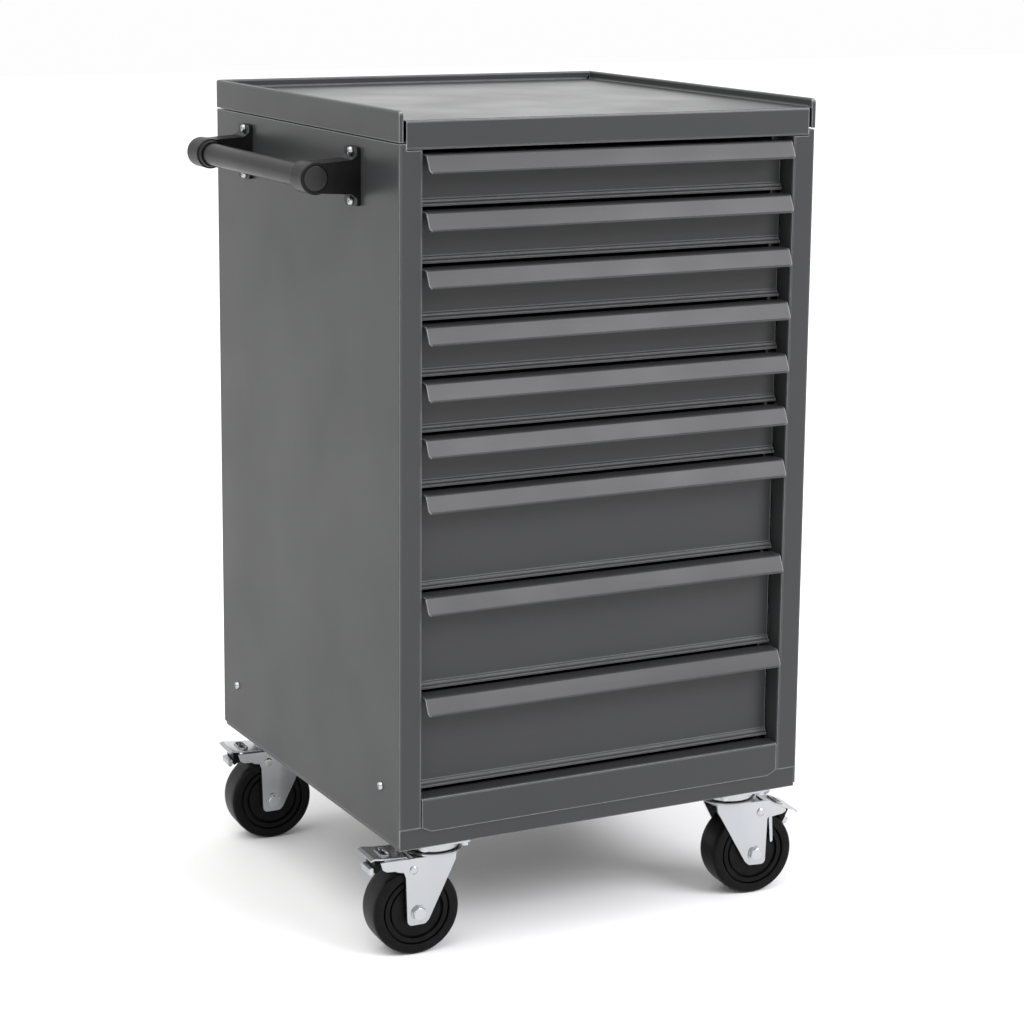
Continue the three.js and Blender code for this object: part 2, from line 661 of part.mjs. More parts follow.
const panelHoles = panelScrewHoles();
const bracketHoles = union(...Object.values(bracketScrewSpots()).map(([y, z]) => screwHole(y, z)));
const leftPanel = leftSidePanel().subtract(panelHoles);
chest.add(
  toMesh("left_side_panel", leftPanel.subtract(bracketHoles), STEEL),
  toMesh("right_side_panel", mirrored(leftPanel), STEEL),
  toMesh("back_panel", backPanel(), STEEL),
  toMesh("base_pan", basePan(), STEEL),
  toMesh("plinth_rail", plinthRail(), STEEL),
  toMesh("top_tray", topTray(), STEEL),
  toMesh("left_runner_column", leftRunnerColumn(), SLIDE_STEEL),
  toMesh("right_runner_column", mirrored(leftRunnerColumn()), SLIDE_STEEL),
);

for (const drawer of DRAWERS) {
  chest.add(
    toMesh(`drawer_${drawer.number}_box`, drawerBox(drawer), STEEL),
    toMesh(`drawer_${drawer.number}_front`, drawerFront(drawer), STEEL),
  );
}

const frontEnd = BRACKET_FRONTS.front;
const rearEnd = BRACKET_FRONTS.rear + BRACKET.depth;
chest.add(
  toMesh("handle_tube", handleTube(), STEEL),
  toMesh("handle_front_bracket", handleBracket(BRACKET_FRONTS.front, frontEnd), PLASTIC),
  toMesh("handle_rear_bracket", handleBracket(BRACKET_FRONTS.rear, rearEnd), PLASTIC),
  toMesh("handle_front_cap", handleCap(frontEnd, 1), PLASTIC),
  toMesh("handle_rear_cap", handleCap(rearEnd, -1), PLASTIC),
);
for (const [spot, [y, z]] of Object.entries(bracketScrewSpots())) {
  const seat = -HALF - BRACKET.flange - 2 * GAP;
  chest.add(toMesh(`handle_screw_${spot}`, sideScrew(seat, y, z, BRACKET_SCREW_LENGTH), ZINC));
}
for (const [spot, y] of Object.entries(PANEL_SCREW_YS)) {
  const screw = sideScrew(-HALF - GAP, y, PANEL_SCREW_Z, PANEL_SCREW_LENGTH);
  chest.add(toMesh(`panel_screw_left_${spot}`, screw, ZINC));
  chest.add(toMesh(`panel_screw_right_${spot}`, mirrored(screw), ZINC));
}
for (const [name, spot] of Object.entries(CASTERS)) {
  chest.add(caster(name, spot));
}

// The whole box is centred to the nearest tenth of a millimetre.
const middle = new THREE.Box3().setFromObject(chest, true).getCenter(new THREE.Vector3());
const toTenth = (length) => Number(length.toFixed(1));
chest.position.set(-toTenth(middle.x), -toTenth(middle.y), 0);

export default chest;
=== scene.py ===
"""Looks for the rolling tool chest: powder-coated folded sheet, zinc-plated casters and a black push handle.

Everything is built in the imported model's frame. Shapes are drawn in millimetres in the chest's own
coordinates, with X 0 on its centre plane, Y 0 on the face of its front stiles and Z 0 on the floor.
"""

import json
import math

import bmesh
import bpy
from mathutils import Matrix, Vector


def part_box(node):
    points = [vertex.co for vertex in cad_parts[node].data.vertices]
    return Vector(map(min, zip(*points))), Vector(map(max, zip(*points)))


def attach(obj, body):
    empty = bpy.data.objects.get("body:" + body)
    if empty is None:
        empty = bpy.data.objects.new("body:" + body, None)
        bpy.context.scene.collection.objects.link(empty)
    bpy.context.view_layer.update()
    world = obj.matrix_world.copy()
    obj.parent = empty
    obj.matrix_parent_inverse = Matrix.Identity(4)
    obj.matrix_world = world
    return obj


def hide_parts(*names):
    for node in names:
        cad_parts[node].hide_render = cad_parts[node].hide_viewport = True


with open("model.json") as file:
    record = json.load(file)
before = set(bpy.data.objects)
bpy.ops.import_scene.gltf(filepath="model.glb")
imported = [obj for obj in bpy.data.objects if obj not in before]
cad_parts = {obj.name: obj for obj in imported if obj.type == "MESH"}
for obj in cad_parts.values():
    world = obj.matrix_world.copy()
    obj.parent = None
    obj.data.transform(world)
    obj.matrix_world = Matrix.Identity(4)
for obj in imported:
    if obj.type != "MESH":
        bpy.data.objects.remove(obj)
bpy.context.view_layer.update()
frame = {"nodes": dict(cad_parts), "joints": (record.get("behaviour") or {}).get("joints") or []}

MM = 0.001
tray_low, tray_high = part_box("top_tray")
ORIGIN = Vector(((tray_low.x + tray_high.x) / 2, tray_low.y, 0))
JOINTS = {joint["name"]: joint for joint in frame["joints"]}

SHEET = 1.5
TINY = 1e-6
SMOOTH_ANGLE = math.radians(32)


# ---- Outlines, in the plane ----


def rounded(path, radius, steps=5):
    """The open path with each inner corner turned into an arc. radius is one number or one per corner."""
    points = [Vector(p) for p in path]
    radii = radius if isinstance(radius, (list, tuple)) else [radius] * (len(path) - 2)
    out = [points[0]]
    for i, r in enumerate(radii, start=1):
        corner = points[i]
        into = (points[i - 1] - corner).normalized()
        away = (points[i + 1] - corner).normalized()
        half = math.acos(max(-1, min(1, into.dot(away)))) / 2
        if r <= 0 or half > math.pi / 2 - 0.01:
            out.append(corner)
            continue
        centre = corner + (into + away).normalized() * (r / math.sin(half))
        start = corner + into * (r / math.tan(half)) - centre
        end = corner + away * (r / math.tan(half)) - centre
        sweep = math.atan2(start.x * end.y - start.y * end.x, start.dot(end))
        for s in range(steps + 1):
            out.append(centre + Matrix.Rotation(sweep * s / steps, 2) @ start)
    out.append(points[-1])
    return out


def rounded_loop(loop, radius, steps=5):
    """The closed loop with every corner turned into an arc."""
    n = len(loop)
    radii = radius if isinstance(radius, (list, tuple)) else [radius] * n
    out = []
    for i in range(n):
        out += rounded([loop[i - 1], loop[i], loop[(i + 1) % n]], [radii[i]], steps)[1:-1]
    return out


def sheet_outline(path, side, thickness, radius, steps=4):
    """The closed section of a bent sheet, to the right of the path for side 1 and to its left for -1."""
    face = rounded(path, radius, steps)
    normals = []
    for a, b in zip(face, face[1:]):
        d = (b - a).normalized()
        normals.append(Vector((d.y, -d.x)) * side)
    back = []
    for i, p in enumerate(face):
        a, b = normals[max(i - 1, 0)], normals[min(i, len(normals) - 1)]
        mitre = (a + b).normalized()
        back.append(p + mitre * (thickness / mitre.dot(b)))
    return face + back[::-1]


# ---- Meshes, in millimetres ----


AXES = {
    "x": lambda u, v, w: (w, u, v),
    "y": lambda u, v, w: (u, w, v),
    "z": lambda u, v, w: (u, v, w),
}


def prism(axis, outline, start, end):
    """A bmesh of the outline run along an axis from start to end."""
    bm = bmesh.new()
    to_point = AXES[axis]
    first = [bm.verts.new(to_point(p[0], p[1], start)) for p in outline]
    last = [bm.verts.new(to_point(p[0], p[1], end)) for p in outline]
    bm.faces.new(first)
    bm.faces.new(last[::-1])
    for i in range(len(outline)):
        j = (i + 1) % len(outline)
        bm.faces.new((first[i], last[i], last[j], first[j]))
    bmesh.ops.recalc_face_normals(bm, faces=bm.faces)
    return bm


def turned(axis, profile, segments, centre=(0, 0, 0)):
    """A bmesh turned about an axis. The (radius, height) profile ends on the axis or closes on itself."""
    bm = bmesh.new()
    to_point = AXES[axis]
    offset = Vector(centre)
    closed = (Vector(profile[0]) - Vector(profile[-1])).length < TINY
    points = profile[:-1] if closed else profile
    rings = []
    for r, h in points:
        turns = 1 if r < TINY else segments
        ring = []
        for s in range(turns):
            a = 2 * math.pi * s / segments
            ring.append(bm.verts.new(Vector(to_point(r * math.cos(a), r * math.sin(a), h)) + offset))
        rings.append(ring)
    pairs = list(zip(rings, rings[1:]))
    if closed:
        pairs.append((rings[-1], rings[0]))
    for a, b in pairs:
        for s in range(segments):
            t = (s + 1) % segments
            corners = [a[s % len(a)], a[t % len(a)], b[t % len(b)], b[s % len(b)]]
            unique = list(dict.fromkeys(corners))
            if len(unique) > 2:
                bm.faces.new(unique)
    bmesh.ops.recalc_face_normals(bm, faces=bm.faces)
    return bm


def joined(*parts):
    """One bmesh holding the given ones side by side."""
    out = bmesh.new()
    for bm in parts:
        mesh = bpy.data.meshes.new("part")
        bm.to_mesh(mesh)
        out.from_mesh(mesh)
        bm.free()
        bpy.data.meshes.remove(mesh)
    return out


def moved(bm, matrix):
    bmesh.ops.transform(bm, matrix=matrix, verts=bm.verts)
    return bm


def softened(bm, width, segments=2, angle=30):
    """Rounds every edge that turns by more than the angle."""
    edges = [e for e in bm.edges if len(e.link_faces) == 2 and e.calc_face_angle(0) > math.radians(angle)]
    bmesh.ops.bevel(
        bm, geom=edges, offset=width, segments=segments, profile=0.5, affect="EDGES", clamp_overlap=True,
    )
    return bm


def boolean(bm, cutters, operation="DIFFERENCE"):
    """The bmesh cut by, or joined with, each of the others."""
    def as_object(source):
        mesh = bpy.data.meshes.new("work")
        source.to_mesh(mesh)
        source.free()
        obj = bpy.data.objects.new("work", mesh)
        bpy.context.scene.collection.objects.link(obj)
        return obj

    target = as_object(bm)
    tools = [as_object(c) for c in cutters]
    for tool in tools:
        mod = target.modifiers.new("cut", "BOOLEAN")
        mod.object = tool
        mod.operation = operation
        mod.solver = "EXACT"
    evaluated = target.evaluated_get(bpy.context.evaluated_depsgraph_get())
    result = bmesh.new()
    result.from_mesh(evaluated.to_mesh())
    for obj in [target, *tools]:
        bpy.data.objects.remove(obj)
    return result


def piece(name, bm, body, material, replaces=(), where=None):
    """Turns a bmesh in millimetres into a finished piece that rides on a body."""
    for face in bm.faces:
        face.smooth = True
    for edge in bm.edges:
        edge.smooth = len(edge.link_faces) == 2 and edge.calc_face_angle(0) < SMOOTH_ANGLE
    bmesh.ops.transform(bm, matrix=Matrix.Scale(MM, 4), verts=bm.verts)
    mesh = bpy.data.meshes.new(name)
    bm.to_mesh(mesh)
    bm.free()
    mesh.materials.append(material)
    obj = bpy.data.objects.new(name, mesh)
    bpy.context.scene.collection.objects.link(obj)
    obj.matrix_world = where or Matrix.Translation(ORIGIN)
    normals = obj.modifiers.new("normals", "WEIGHTED_NORMAL")
    normals.keep_sharp = True
    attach(obj, body)
    if replaces:
        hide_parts(*replaces)


# ---- Materials ----


class Nodes:
    """A short way to write a material's node tree."""

    def __init__(self, name):
        self.material = bpy.data.materials.new(name)
        self.material.use_nodes = True
        self.tree = self.material.node_tree
        self.shader = self.tree.nodes["Principled BSDF"]
        self.coords = self.tree.nodes.new("ShaderNodeTexCoord").outputs["Object"]

    def new(self, kind, settings=(), **inputs):
        node = self.tree.nodes.new("ShaderNode" + kind)
        for key, value in dict(settings).items():
            setattr(node, key, value)
        for key, value in inputs.items():
            socket = node.inputs[int(key[1:])] if key[0] == "i" and key[1:].isdigit() else node.inputs[key]
            self.feed(socket, value)
        return node

    def feed(self, socket, value):
        if isinstance(value, bpy.types.NodeSocket):
            self.tree.links.new(value, socket)
        else:
            socket.default_value = value

    def noise(self, scale, detail=3, roughness=0.5, coords=None):
        node = self.new("TexNoise", Scale=scale, Detail=detail, Roughness=roughness)
        self.feed(node.inputs["Vector"], coords or self.coords)
        return node.outputs["Fac"]

    def stretched(self, x, y, z):
        node = self.new("Mapping", Scale=(x, y, z))
        self.feed(node.inputs["Vector"], self.coords)
        return node.outputs["Vector"]

    def ramp(self, value, low, high, to_low=0.0, to_high=1.0):
        node = self.new("MapRange")
        limits = {"From Min": low, "From Max": high, "To Min": to_low, "To Max": to_high}
        for key, v in {"Value": value, **limits}.items():
            self.feed(node.inputs[key], v)
        return node.outputs["Result"]

    def math(self, operation, a, b):
        node = self.new("Math", {"operation": operation}, i0=a, i1=b)
        return node.outputs[0]

    def mix(self, share, a, b):
        node = self.new("Mix", {"data_type": "RGBA"})
        self.feed(node.inputs["Factor"], share)
        self.feed([s for s in node.inputs if s.name == "A" and s.type == "RGBA"][0], a)
        self.feed([s for s in node.inputs if s.name == "B" and s.type == "RGBA"][0], b)
        return [s for s in node.outputs if s.type == "RGBA"][0]

    def bump(self, height, distance, strength=1.0, below=None):
        node = self.new("Bump", Distance=distance, Strength=strength)
        self.feed(node.inputs["Height"], height)
        if below is not None:
            self.feed(node.inputs["Normal"], below)
        return node.outputs["Normal"]

    def edges(self, radius):
        """1 on an edge that sticks out or in, 0 on flat faces. It masks the painted edge highlight."""
        soft = self.new("Bevel", {"samples": 4}, Radius=radius).outputs["Normal"]
        flat = self.new("NewGeometry").outputs["Normal"]
        dot = self.new("VectorMath", {"operation": "DOT_PRODUCT"}, i0=soft, i1=flat).outputs["Value"]
        return self.ramp(dot, 0.99, 0.9)

    def set(self, **sockets):
        for key, value in sockets.items():
            self.feed(self.shader.inputs[key.replace("_", " ")], value)
        return self.material


def grey(value, warm=0.0):
    return (value * (1 + warm), value, value * (1 - warm), 1)


def powder_coat(name, tone, rough, texture, specular):
    n = Nodes(name)
    cloud = n.noise(3.5, 4)
    fine = n.noise(1400, 2)
    colour = n.mix(n.ramp(cloud, 0.3, 0.7), grey(tone * 0.95, -0.03), grey(tone * 1.05, -0.02))
    specks = n.ramp(n.noise(2600, 1), 0.62, 0.8, 0, 0.25)
    colour = n.mix(specks, colour, grey(tone * 1.5, -0.02))
    # Painted highlight: edges are lightened to stand in for the shine that rounded edges catch from the
    # lamps, a little uneven along their length.
    painted_edge_highlight = n.math("MULTIPLY", n.edges(0.0017), n.ramp(n.noise(60, 3), 0.35, 0.75, 0.75, 1.0))
    colour = n.mix(painted_edge_highlight, colour, grey(tone * 8, -0.02))
    roughness = n.ramp(n.noise(9, 4), 0.3, 0.7, rough - 0.04, rough + 0.04)
    peel = n.bump(fine, 0.00006 * texture, 0.5)
    waves = n.bump(n.noise(14, 2), 0.0009, 0.06, peel)
    n.set(Base_Color=colour, Roughness=roughness, Metallic=0.05, Normal=waves)
    return n.set(Specular_IOR_Level=specular)


def zinc(name, tone, rough):
    n = Nodes(name)
    patches = n.ramp(n.noise(30, 3, 0.5), 0.3, 0.7)
    dull = (tone * 0.95, tone * 0.985, tone * 1.02, 1)
    bright = (tone, tone * 1.03, tone * 1.06, 1)
    colour = n.mix(patches, dull, bright)
    tint = n.ramp(n.noise(14, 2), 0.55, 0.8, 0, 0.12)
    colour = n.mix(tint, colour, (tone * 0.98, tone * 0.98, tone * 0.92, 1))
    roughness = n.ramp(n.noise(40, 3), 0.3, 0.7, rough - 0.03, rough + 0.05)
    drawn = n.noise(1, 2, 0.5, n.stretched(900, 900, 60))
    dents = n.bump(n.noise(90, 2), 0.00003, 0.3, n.bump(drawn, 0.00001, 0.4))
    return n.set(Base_Color=colour, Roughness=roughness, Metallic=0.9, Normal=dents)


def slide_steel():
    n = Nodes("slide_steel")
    streak = n.noise(1, 4, 0.6, n.stretched(30, 3, 700))
    # Painted shade: the steel is darker than bare steel so the slide ends seen through the gaps beside the
    # drawer fronts read as the shade there; the streaks are its real brushing.
    colour = n.mix(n.ramp(streak, 0.35, 0.65), grey(0.2), grey(0.28, 0.01))
    roughness = n.ramp(streak, 0.3, 0.7, 0.3, 0.45)
    return n.set(Base_Color=colour, Roughness=roughness, Metallic=0.9, Normal=n.bump(streak, 0.00005, 0.4))


def rubber():
    n = Nodes("rubber")
    dust = n.ramp(n.noise(70, 4, 0.65), 0.45, 0.75)
    colour = n.mix(dust, grey(0.003), grey(0.006, 0.02))
    roughness = n.ramp(n.noise(25, 3), 0.3, 0.7, 0.3, 0.42)
    skin = n.bump(n.noise(1800, 2), 0.00004, 0.4, n.bump(n.noise(90, 3), 0.0001, 0.15))
    return n.set(Base_Color=colour, Roughness=roughness, Normal=skin, Specular_IOR_Level=0.09)


def black_plastic(name, tone, specular):
    n = Nodes(name)
    colour = n.mix(n.ramp(n.noise(30, 3), 0.3, 0.7), grey(tone * 0.7), grey(tone * 1.3))
    roughness = n.ramp(n.noise(60, 3), 0.3, 0.7, 0.3, 0.4)
    grain = n.bump(n.noise(1500, 2), 0.00005, 0.4)
    return n.set(Base_Color=colour, Roughness=roughness, Normal=grain, Specular_IOR_Level=specular)


COAT = powder_coat("powder_coat", 0.036, 0.34, 1.0, 0.22)
HANDLE_COAT = powder_coat("handle_coat", 0.006, 0.34, 0.6, 0.18)
ZINC = zinc("zinc_plate", 0.43, 0.2)
SCREW_ZINC = zinc("screw_zinc", 0.46, 0.18)
SLIDE_STEEL = slide_steel()
RUBBER = rubber()
PLASTIC = black_plastic("black_plastic", 0.0055, 0.17)
PLUG_PLASTIC = black_plastic("plug_plastic", 0.017, 0.3)


# ---- CAD nodes that are shown as they are, with softened edges ----


def dress(node, material, edge=0.45):
    obj = frame["nodes"][node]
    obj.data.materials.clear()
    obj.data.materials.append(material)
    weld = obj.modifiers.new("weld", "WELD")
    weld.merge_threshold = 0.02 * MM
    bevel = obj.modifiers.new("edges", "BEVEL")
    bevel.width = edge * MM
    bevel.segments = 2
    bevel.limit_method = "ANGLE"
    bevel.angle_limit = math.radians(40)
    bevel.use_clamp_overlap = True


for panel in ("left_side_panel", "right_side_panel", "back_panel", "base_pan", "plinth_rail", "top_tray"):
    dress(panel, COAT)
for side in ("left", "right"):
    dress(f"{side}_runner_column", SLIDE_STEEL)


# ---- Drawers ----

# The box's slide flange, measured from the box floor and from the chest's middle.
SLIDE = {"lift": 12, "height": 18, "inner": 208.4, "front": 36.5, "end": 0.5}
# The channel over that flange: how far it stands off above, below and outside, then the sheet.
SLIDE_CHANNEL = {"lap": 0.6, "cover": 0.25, "sheet": 0.2, "bend": 0.5}
FRONT_HALF = 222
PANEL_Y = 22
LIP = {"height": 18, "overhang": 8, "hem": 2.6, "corner": 3}
# The two steps along the bottom edge: where they stand in Y, and their heights above the edge.
BEAD = {"back": 27.5, "lower": 17.5, "upper": 20.3, "step": 2.4, "ledge": 4.8, "rise": 6.2, "top": 8}
# The radius of each bend, from the bottom flange to the hem.
FRONT_BENDS = [0.8, 0.8, 0.9, 0.5, 0.8, 1.2, 1.6, 0.9]


def lip_corner_cutter(lip, side):
    """What is cut from one lower corner of the lip to round it."""
    r = LIP["corner"]
    turn = [(FRONT_HALF, lip + 2 * r), (FRONT_HALF, lip), (FRONT_HALF - 2 * r, lip)]
    beyond = [(FRONT_HALF - r, lip - 2), (FRONT_HALF + 2, lip - 2), (FRONT_HALF + 2, lip + r)]
    outline = [(side * x, z) for x, z in [*rounded(turn, r)[1:-1], *beyond]]
    return prism("y", outline, -15, 5)


def drawer_front(number):
    """The folded front: panel, top flange, sloping pull lip with a hem, and a doubly beaded bottom edge."""
    low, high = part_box(f"drawer_{number}_front")
    bottom, top = low.z / MM, high.z / MM
    lip = top - LIP["height"]
    section = [
        (BEAD["back"], bottom),
        (BEAD["lower"], bottom),
        (BEAD["lower"], bottom + BEAD["step"]),
        (BEAD["upper"], bottom + BEAD["ledge"]),
        (BEAD["upper"], bottom + BEAD["rise"]),
        (PANEL_Y, bottom + BEAD["top"]),
        (PANEL_Y, top - SHEET),
        (0, top - SHEET),
        (-LIP["overhang"], lip),
        (-LIP["overhang"] + LIP["hem"], lip),
    ]
    outline = sheet_outline(section, 1, SHEET, FRONT_BENDS)
    bm = softened(prism("x", outline, -FRONT_HALF, FRONT_HALF), 0.45)
    bm = boolean(bm, [lip_corner_cutter(lip, side) for side in (-1, 1)])
    body = f"drawer_{number}"
    piece(f"{body}_face", bm, body, COAT, [f"{body}_front"])


def drawer_slides(number):
    """The moving slide members: a thin steel channel folded over the flange on each side of the box."""
    low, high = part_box(f"drawer_{number}_box")
    bottom = low.z / MM + SLIDE["lift"] - SLIDE_CHANNEL["lap"]
    top = low.z / MM + SLIDE["lift"] + SLIDE["height"] + SLIDE_CHANNEL["lap"]
    outer = (high.x - ORIGIN.x) / MM + SLIDE_CHANNEL["cover"]
    back = (high.y - ORIGIN.y) / MM - SLIDE["end"]
    path = [(SLIDE["inner"], bottom), (outer, bottom), (outer, top), (SLIDE["inner"], top)]
    channel = sheet_outline(path, -1, SLIDE_CHANNEL["sheet"], SLIDE_CHANNEL["bend"])
    sides = []
    for side in (-1, 1):
        outline = [(side * p[0], p[1]) for p in channel]
        sides.append(prism("y", outline, SLIDE["front"], back))
    piece(f"drawer_{number}_slides", joined(*sides), f"drawer_{number}", SLIDE_STEEL)


for number in range(1, 10):
    dress(f"drawer_{number}_box", COAT, 0.3)
    drawer_front(number)
    drawer_slides(number)


# ---- Screws ----


SCREW_HEAD = [(0, 2.8), (2.2, 2.75), (3.7, 2.3), (4.5, 1.3), (4.8, 0), (2.5, 0), (2.5, -7), (0, -7)]
SCREW_HEAD_HEIGHT = 2.8
RECESS = {"reach": 2.4, "half": 0.45, "floor": 1.4, "top": 4, "turn": 0.4}


def pan_screw(name, node, direction):
    """A pan-head screw with a cross recess, where the CAD screw is. direction is the head's way out in X."""
    low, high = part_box(node)
    centre = (low + high) / 2
    head_top = low.x if direction < 0 else high.x
    seat = head_top - direction * SCREW_HEAD_HEIGHT * MM
    reach, half = RECESS["reach"], RECESS["half"]
    slot = [(-reach, -half), (reach, -half), (reach, half), (-reach, half)]
    arms = []
    for quarter in (0, math.pi / 2):
        arm = prism("x", slot, RECESS["floor"], RECESS["top"])
        arms.append(moved(arm, Matrix.Rotation(quarter + RECESS["turn"], 4, "X")))
    bm = boolean(turned("x", SCREW_HEAD, 40), arms)
    if direction < 0:
        moved(bm, Matrix.Rotation(math.pi, 4, "Z"))
    where = Matrix.Translation((seat, centre.y, centre.z))
    piece(name, bm, "cabinet", SCREW_ZINC, [node], where)


for end in ("front", "rear"):
    for level in ("upper", "lower"):
        pan_screw(f"handle_screw_head_{end}_{level}", f"handle_screw_{end}_{level}", -1)
    pan_screw(f"panel_screw_head_left_{end}", f"panel_screw_left_{end}", -1)
    pan_screw(f"panel_screw_head_right_{end}", f"panel_screw_right_{end}", 1)


# ---- Push handle ----

tube_low, tube_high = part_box("handle_tube")
HANDLE_X = ((tube_low.x + tube_high.x) / 2 - ORIGIN.x) / MM
HANDLE_Z = (tube_low.z + tube_high.z) / 2 / MM
TUBE_RADIUS = 12.5
TUBE_WALL = 2
BOSS = 17
BOSS_EDGE = 1.2
BORE_SLACK = 0.15
BRACKET = {"flange": 4, "corner": 4, "arm": 15.5, "root": 18, "spread": 24, "neck": 10, "lap": 2, "bend": 6}
# The collar tapers from the boss to the tube.
COLLAR = {"wide": 15.6, "narrow": 14.6, "end": 14.2, "length": 6, "lip": 1}
SEAT = {"radius": 13.9, "depth": 3.4}
PLUG = [(0, 0), (12.4, 0), (13.2, 0.4), (13.5, 1.1), (13.5, 3), (10, 3), (10, 14), (0, 14)]
PLUG_SINK = 0.2


def along_handle(profile):
    """A piece turned about the handle's own axis."""
    return turned("y", profile, 72, (HANDLE_X, 0, HANDLE_Z))


def handle_tube():
    start, end = (tube_low.y - ORIGIN.y) / MM, (tube_high.y - ORIGIN.y) / MM
    bore = TUBE_RADIUS - TUBE_WALL
    section = [(bore, start), (TUBE_RADIUS, start), (TUBE_RADIUS, end), (bore, end), (bore, start)]
    tube = along_handle(section)
    piece("handle_grip_tube", tube, "cabinet", HANDLE_COAT, ["handle_tube"])


def bracket_arm(wall):
    """The arm's outline, from the tube to the wall flange, where it flares."""
    neck = wall - BRACKET["neck"]
    foot = wall - BRACKET["lap"]
    lower = [
        (HANDLE_X, HANDLE_Z - BRACKET["arm"]),
        (neck, HANDLE_Z - BRACKET["root"]),
        (foot, HANDLE_Z - BRACKET["spread"]),
    ]
    upper = [(x, 2 * HANDLE_Z - z) for x, z in reversed(lower)]
    bend = BRACKET["bend"]
    return rounded_loop([*lower, *upper], [0.1, bend, 0.1, 0.1, bend, 0.1], 4)


def handle_bracket(end, node, cap, outer):
    """The moulded bracket: a wall flange, an arm that narrows, and a boss with a collar around the tube."""
    low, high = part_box(node)
    front, back = (low.y - ORIGIN.y) / MM, (high.y - ORIGIN.y) / MM
    wall = (high.x - ORIGIN.x) / MM
    bottom, top = low.z / MM, high.z / MM
    corners = [(front, bottom), (back, bottom), (back, top), (front, top)]
    flange = prism("x", rounded_loop(corners, BRACKET["corner"]), wall - BRACKET["flange"], wall)
    arm = prism("y", bracket_arm(wall), front + 0.5, back - 0.5)
    boss = along_handle([
        (0, front), (BOSS - BOSS_EDGE, front), (BOSS, front + BOSS_EDGE),
        (BOSS, back - BOSS_EDGE), (BOSS - BOSS_EDGE, back), (0, back),
    ])
    inner = front if outer == back else back
    away = 1 if outer == front else -1
    collar_start = inner - away * COLLAR["lip"]
    collar_end = inner + away * COLLAR["length"]
    collar = along_handle([
        (0, collar_start), (COLLAR["wide"], collar_start), (COLLAR["narrow"], collar_end - away),
        (COLLAR["end"], collar_end), (0, collar_end),
    ])
    bore = TUBE_RADIUS + BORE_SLACK
    drill = along_handle([(0, front - 10), (bore, front - 10), (bore, back + 10), (0, back + 10)])
    deep = SEAT["depth"]
    seat = along_handle([
        (0, outer - deep), (SEAT["radius"], outer - deep), (SEAT["radius"], outer + deep), (0, outer + deep),
    ])
    bm = boolean(boolean(flange, [arm, boss, collar], "UNION"), [drill, seat])
    softened(bm, 0.7, 2, 40)
    piece(f"handle_{end}_arm", bm, "cabinet", PLASTIC, [node])
    plug = along_handle([(r, outer + away * (h + PLUG_SINK)) for r, h in PLUG])
    piece(f"handle_{end}_plug", plug, "cabinet", PLUG_PLASTIC, [cap])


def handle():
    handle_tube()
    for end in ("front", "rear"):
        low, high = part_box(f"handle_{end}_bracket")
        outer = ((low if end == "front" else high).y - ORIGIN.y) / MM
        handle_bracket(end, f"handle_{end}_bracket", f"handle_{end}_cap", outer)


handle()


# ---- Casters: local X is the trailing side, local Z the swivel axis from the floor up ----

TRAIL = 25
AXLE_Z = 50
LEG_INNER = 22.5
LEG_THICK = 3
PIVOT_X = 31
PIVOT_Z = 100
PIVOT_RADIUS = 3
# Where X is below FOLD_X, both legs turn inwards by FOLD_TURN degrees.
FOLD_X = 15.5
FOLD_TURN = 10
# A leg's outline in X and Z: the edge that both legs share, then the arm up to the deck.
FORK_EDGE = [(-22, 113), (-21, 104), (12.6, 41.5), (17.5, 37.0), (38.1, 36.3), (40, 92)]
FORK_RADII = [0.1, 3, 6, 5, 5.5, 3]
LONG_ARM = [(42.5, 98.5), (46.5, 101.2), (62, 101.8), (67, 104.5), (69.5, 113)]
SHORT_ARM = [(44.3, 94), (44.3, 110), (42, 113)]
ARM_BEND = 4
# Half of the wheel's section as (radius, offset from the middle), from the bore to the tread.
WHEEL_HALF = [
    (5.3, 18.5), (8.5, 18.5), (9.5, 17.2), (28.6, 17.2), (29.4, 18.4),
    (29.9, 15.2), (31, 15.2), (31.6, 18.6), (35.6, 18.9), (36.5, 18.6),
    (37, 15.4), (38.2, 15.4), (38.8, 19.2), (40.5, 20), (46.3, 19.9),
    (48, 19.3), (49.2, 18), (49.8, 15.5), (50, 10),
]
# Turned sections as (radius, height): the ball race pressed up from the fork, and the one of the plate.
LOWER_RACE = [
    (0, 113), (29.5, 113), (32.5, 114.2), (33.2, 116.3),
    (32.2, 117.2), (30.5, 116), (26, 115.6), (0, 115.6),
]
UPPER_RACE = [
    (0, 117.7), (28.4, 117.7), (29.6, 118.3), (30, 119.4),
    (30, 125.4), (29.2, 127.4), (27, 128.8), (0, 128.8),
]
KINGPIN = [(0, 106.9), (6.5, 106.9), (7.8, 107.8), (8, 109.7), (5, 109.7), (5, 120), (0, 120)]
DECK = [(-24, -22), (31, -25), (31, 25), (-24, 22)]
DECK_CORNERS = [16, 1, 1, 16]
DECK_BOTTOM = 110
DECK_TOP = 113.2
AXLE_RADIUS = 5
HOLE_SLACK = 0.3
HEXAGON = {"radius": 8.1, "height": 5, "turn": 0.35}
PLATE_THICK = 4
PLATE_CORNER = 7
PLATE_BOLTS = [(x, y) for x in (-24, 24) for y in (-33, 33)]
BOLT_HEAD = {"radius": 4.9, "bottom": -5, "top": -1}
BOLT_WASHER = [(0, -1.2), (6, -1.2), (6.2, -0.9), (6.2, 0), (0, 0)]


